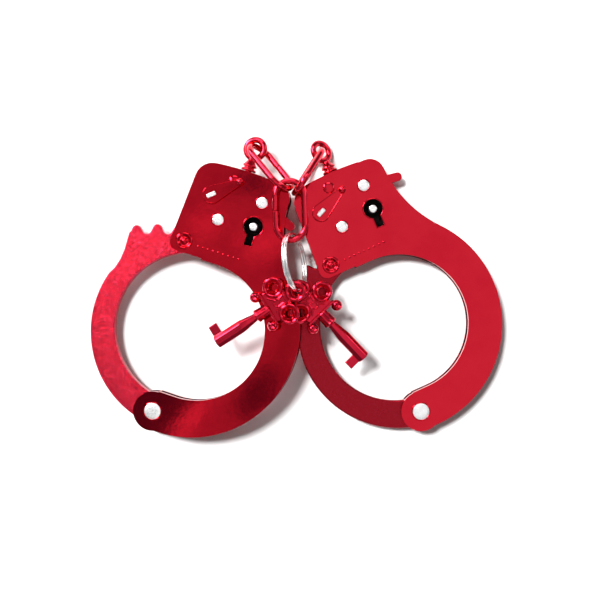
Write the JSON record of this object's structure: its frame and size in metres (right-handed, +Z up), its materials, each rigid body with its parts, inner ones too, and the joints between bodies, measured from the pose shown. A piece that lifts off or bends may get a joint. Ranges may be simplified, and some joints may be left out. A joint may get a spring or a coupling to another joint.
{
  "type": "pair of handcuffs with keys",
  "caption": "Pair of chain-linked metal handcuffs with ratchet arms, double-lock levers and keys held on a split ring.",
  "frame": {"origin": "table plane under the centre of the bounding box, with the pair laid out flat as for display", "axes": "+X from the left cuff to the right cuff along the longest side, +Y from the hinges towards the chain, +Z up from the table, the shortest side"},
  "size_m": [0.1508, 0.1088, 0.0273],
  "materials": {
    "red_plating": "translucent candy-red lacquer over bright plating, high gloss",
    "red_satin_arm": "candy-red metallic coat over a blasted face, glossy edges",
    "red_key_metal": "candy-red coat over cast zinc, glossy, slightly pooled in the hollows",
    "bright_rivet": "bright nickel, lightly scuffed",
    "split_ring_steel": "bright nickel-plated spring wire",
    "lock_steel": "plain oiled steel"
  },
  "bodies": {
    "right_cuff": {"right_front_plate": "red_plating", "right_back_plate": "red_plating", "right_hinge_pin": "bright_rivet", "right_case_rivets": "bright_rivet", "right_key_post": "bright_rivet", "right_swivel_block": "lock_steel", "right_pawl_spring": "lock_steel"},
    "right_arm": {"right_arm": "red_satin_arm"},
    "right_pawl": {"right_pawl": "lock_steel"},
    "right_release": {"right_release_lever": "red_plating"},
    "right_lock": {"right_lock_lever": "red_plating", "right_lock_cam": "lock_steel"},
    "right_swivel": {"right_swivel": "red_plating"},
    "left_cuff": {"left_front_plate": "red_plating", "left_back_plate": "red_plating", "left_hinge_pin": "bright_rivet", "left_case_rivets": "bright_rivet", "left_key_post": "bright_rivet", "left_swivel_block": "lock_steel", "left_pawl_spring": "lock_steel"},
    "left_arm": {"left_arm": "red_satin_arm"},
    "left_pawl": {"left_pawl": "lock_steel"},
    "left_release": {"left_release_lever": "red_plating"},
    "left_lock": {"left_lock_lever": "red_plating", "left_lock_cam": "lock_steel"},
    "left_swivel": {"left_swivel": "red_plating"},
    "right_link": {"right_link": "red_plating"},
    "middle_link": {"middle_link": "red_plating"},
    "left_link": {"left_link": "red_plating"},
    "split_ring": {"split_ring": "split_ring_steel"},
    "left_key": {"left_key": "red_key_metal"},
    "right_key": {"right_key": "red_key_metal"}
  },
  "joints": [
    {"name": "right_arm_swing", "type": "hinge", "parent": "right_cuff", "child": "right_arm", "pos_m": [0.0451, -0.0451, 0.0033], "axis": [0, 0, 1], "continuous": true},
    {"name": "right_pawl_turn", "type": "hinge", "parent": "right_cuff", "child": "right_pawl", "pos_m": [0.0163, 0.02232, 0.0033], "axis": [0, 0, 1], "range_deg": [-19, 13]},
    {"name": "right_release_press", "type": "hinge", "parent": "right_cuff", "child": "right_release", "pos_m": [0.0242, 0.03741, 0.0033], "axis": [0, 0, 1], "range_deg": [-13, 19]},
    {"name": "right_lock_turn", "type": "hinge", "parent": "right_cuff", "child": "right_lock", "pos_m": [0.00863, 0.02742, 0.0033], "axis": [0, 0, 1], "range_deg": [0, 40]},
    {"name": "left_arm_swing", "type": "hinge", "parent": "left_cuff", "child": "left_arm", "pos_m": [-0.05231, -0.0447, 0.00546], "axis": [-0.0941, 0, 0.9956], "continuous": true},
    {"name": "left_pawl_turn", "type": "hinge", "parent": "left_cuff", "child": "left_pawl", "pos_m": [-0.02834, 0.02455, 0.00773], "axis": [-0.0941, 0, 0.9956], "range_deg": [-33, 0]},
    {"name": "left_release_press", "type": "hinge", "parent": "left_cuff", "child": "left_release", "pos_m": [-0.01242, 0.03039, 0.00923], "axis": [-0.0941, 0, 0.9956], "range_deg": [0, 33]},
    {"name": "left_lock_turn", "type": "hinge", "parent": "left_cuff", "child": "left_lock", "pos_m": [-0.03058, 0.03348, 0.00751], "axis": [-0.0941, 0, 0.9956], "range_deg": [-17, 22]},
    {"name": "right_swivel_turn", "type": "hinge", "parent": "right_cuff", "child": "right_swivel", "pos_m": [0.01147, 0.04395, 0.0033], "axis": [-0.4115, 0.9114, 0], "range_deg": [0, 40]},
    {"name": "right_link_swing", "type": "hinge", "parent": "right_swivel", "child": "right_link", "pos_m": [0.00868, 0.05015, 0.0033], "axis": [0, 0, 1], "range_deg": [-40, 0]},
    {"name": "middle_link_swing", "type": "hinge", "parent": "right_link", "child": "middle_link", "pos_m": [-0.00017, 0.0346, 0.0161], "axis": [0, 0, 1], "range_deg": [-8, 0]},
    {"name": "left_link_swing", "type": "hinge", "parent": "middle_link", "child": "left_link", "pos_m": [-0.00348, 0.03533, 0.01552], "axis": [0, 0, 1], "range_deg": [-6, 0]},
    {"name": "left_eye_swing", "type": "hinge", "parent": "left_link", "child": "left_swivel", "pos_m": [-0.01531, 0.05026, 0.00896], "axis": [-0.0941, 0, 0.9956], "range_deg": [-4, 0]},
    {"name": "left_swivel_turn", "type": "hinge", "parent": "left_swivel", "child": "left_cuff", "pos_m": [-0.01741, 0.0438, 0.00876], "axis": [0.3076, 0.9511, 0.0291], "range_deg": [0, 3]},
    {"name": "split_ring_swing", "type": "hinge", "parent": "middle_link", "child": "split_ring", "pos_m": [-0.0021, 0.0169, 0.0149], "axis": [-1, 0, 0], "range_deg": [0, 45]},
    {"name": "left_key_swing", "type": "hinge", "parent": "split_ring", "child": "left_key", "pos_m": [-0.00075, -0.0014, 0.0192], "axis": [-0.1736, 0, 0.9848], "range_deg": [-20, 20]},
    {"name": "right_key_swing", "type": "hinge", "parent": "split_ring", "child": "right_key", "pos_m": [0.0007, -0.0009, 0.0158], "axis": [0.1736, 0, 0.9848], "range_deg": [-5, 20]}
  ],
  "couplings": [
    {"joint": "right_release_press", "follows": "right_pawl_turn", "ratio": -1},
    {"joint": "left_release_press", "follows": "left_pawl_turn", "ratio": -1}
  ]
}
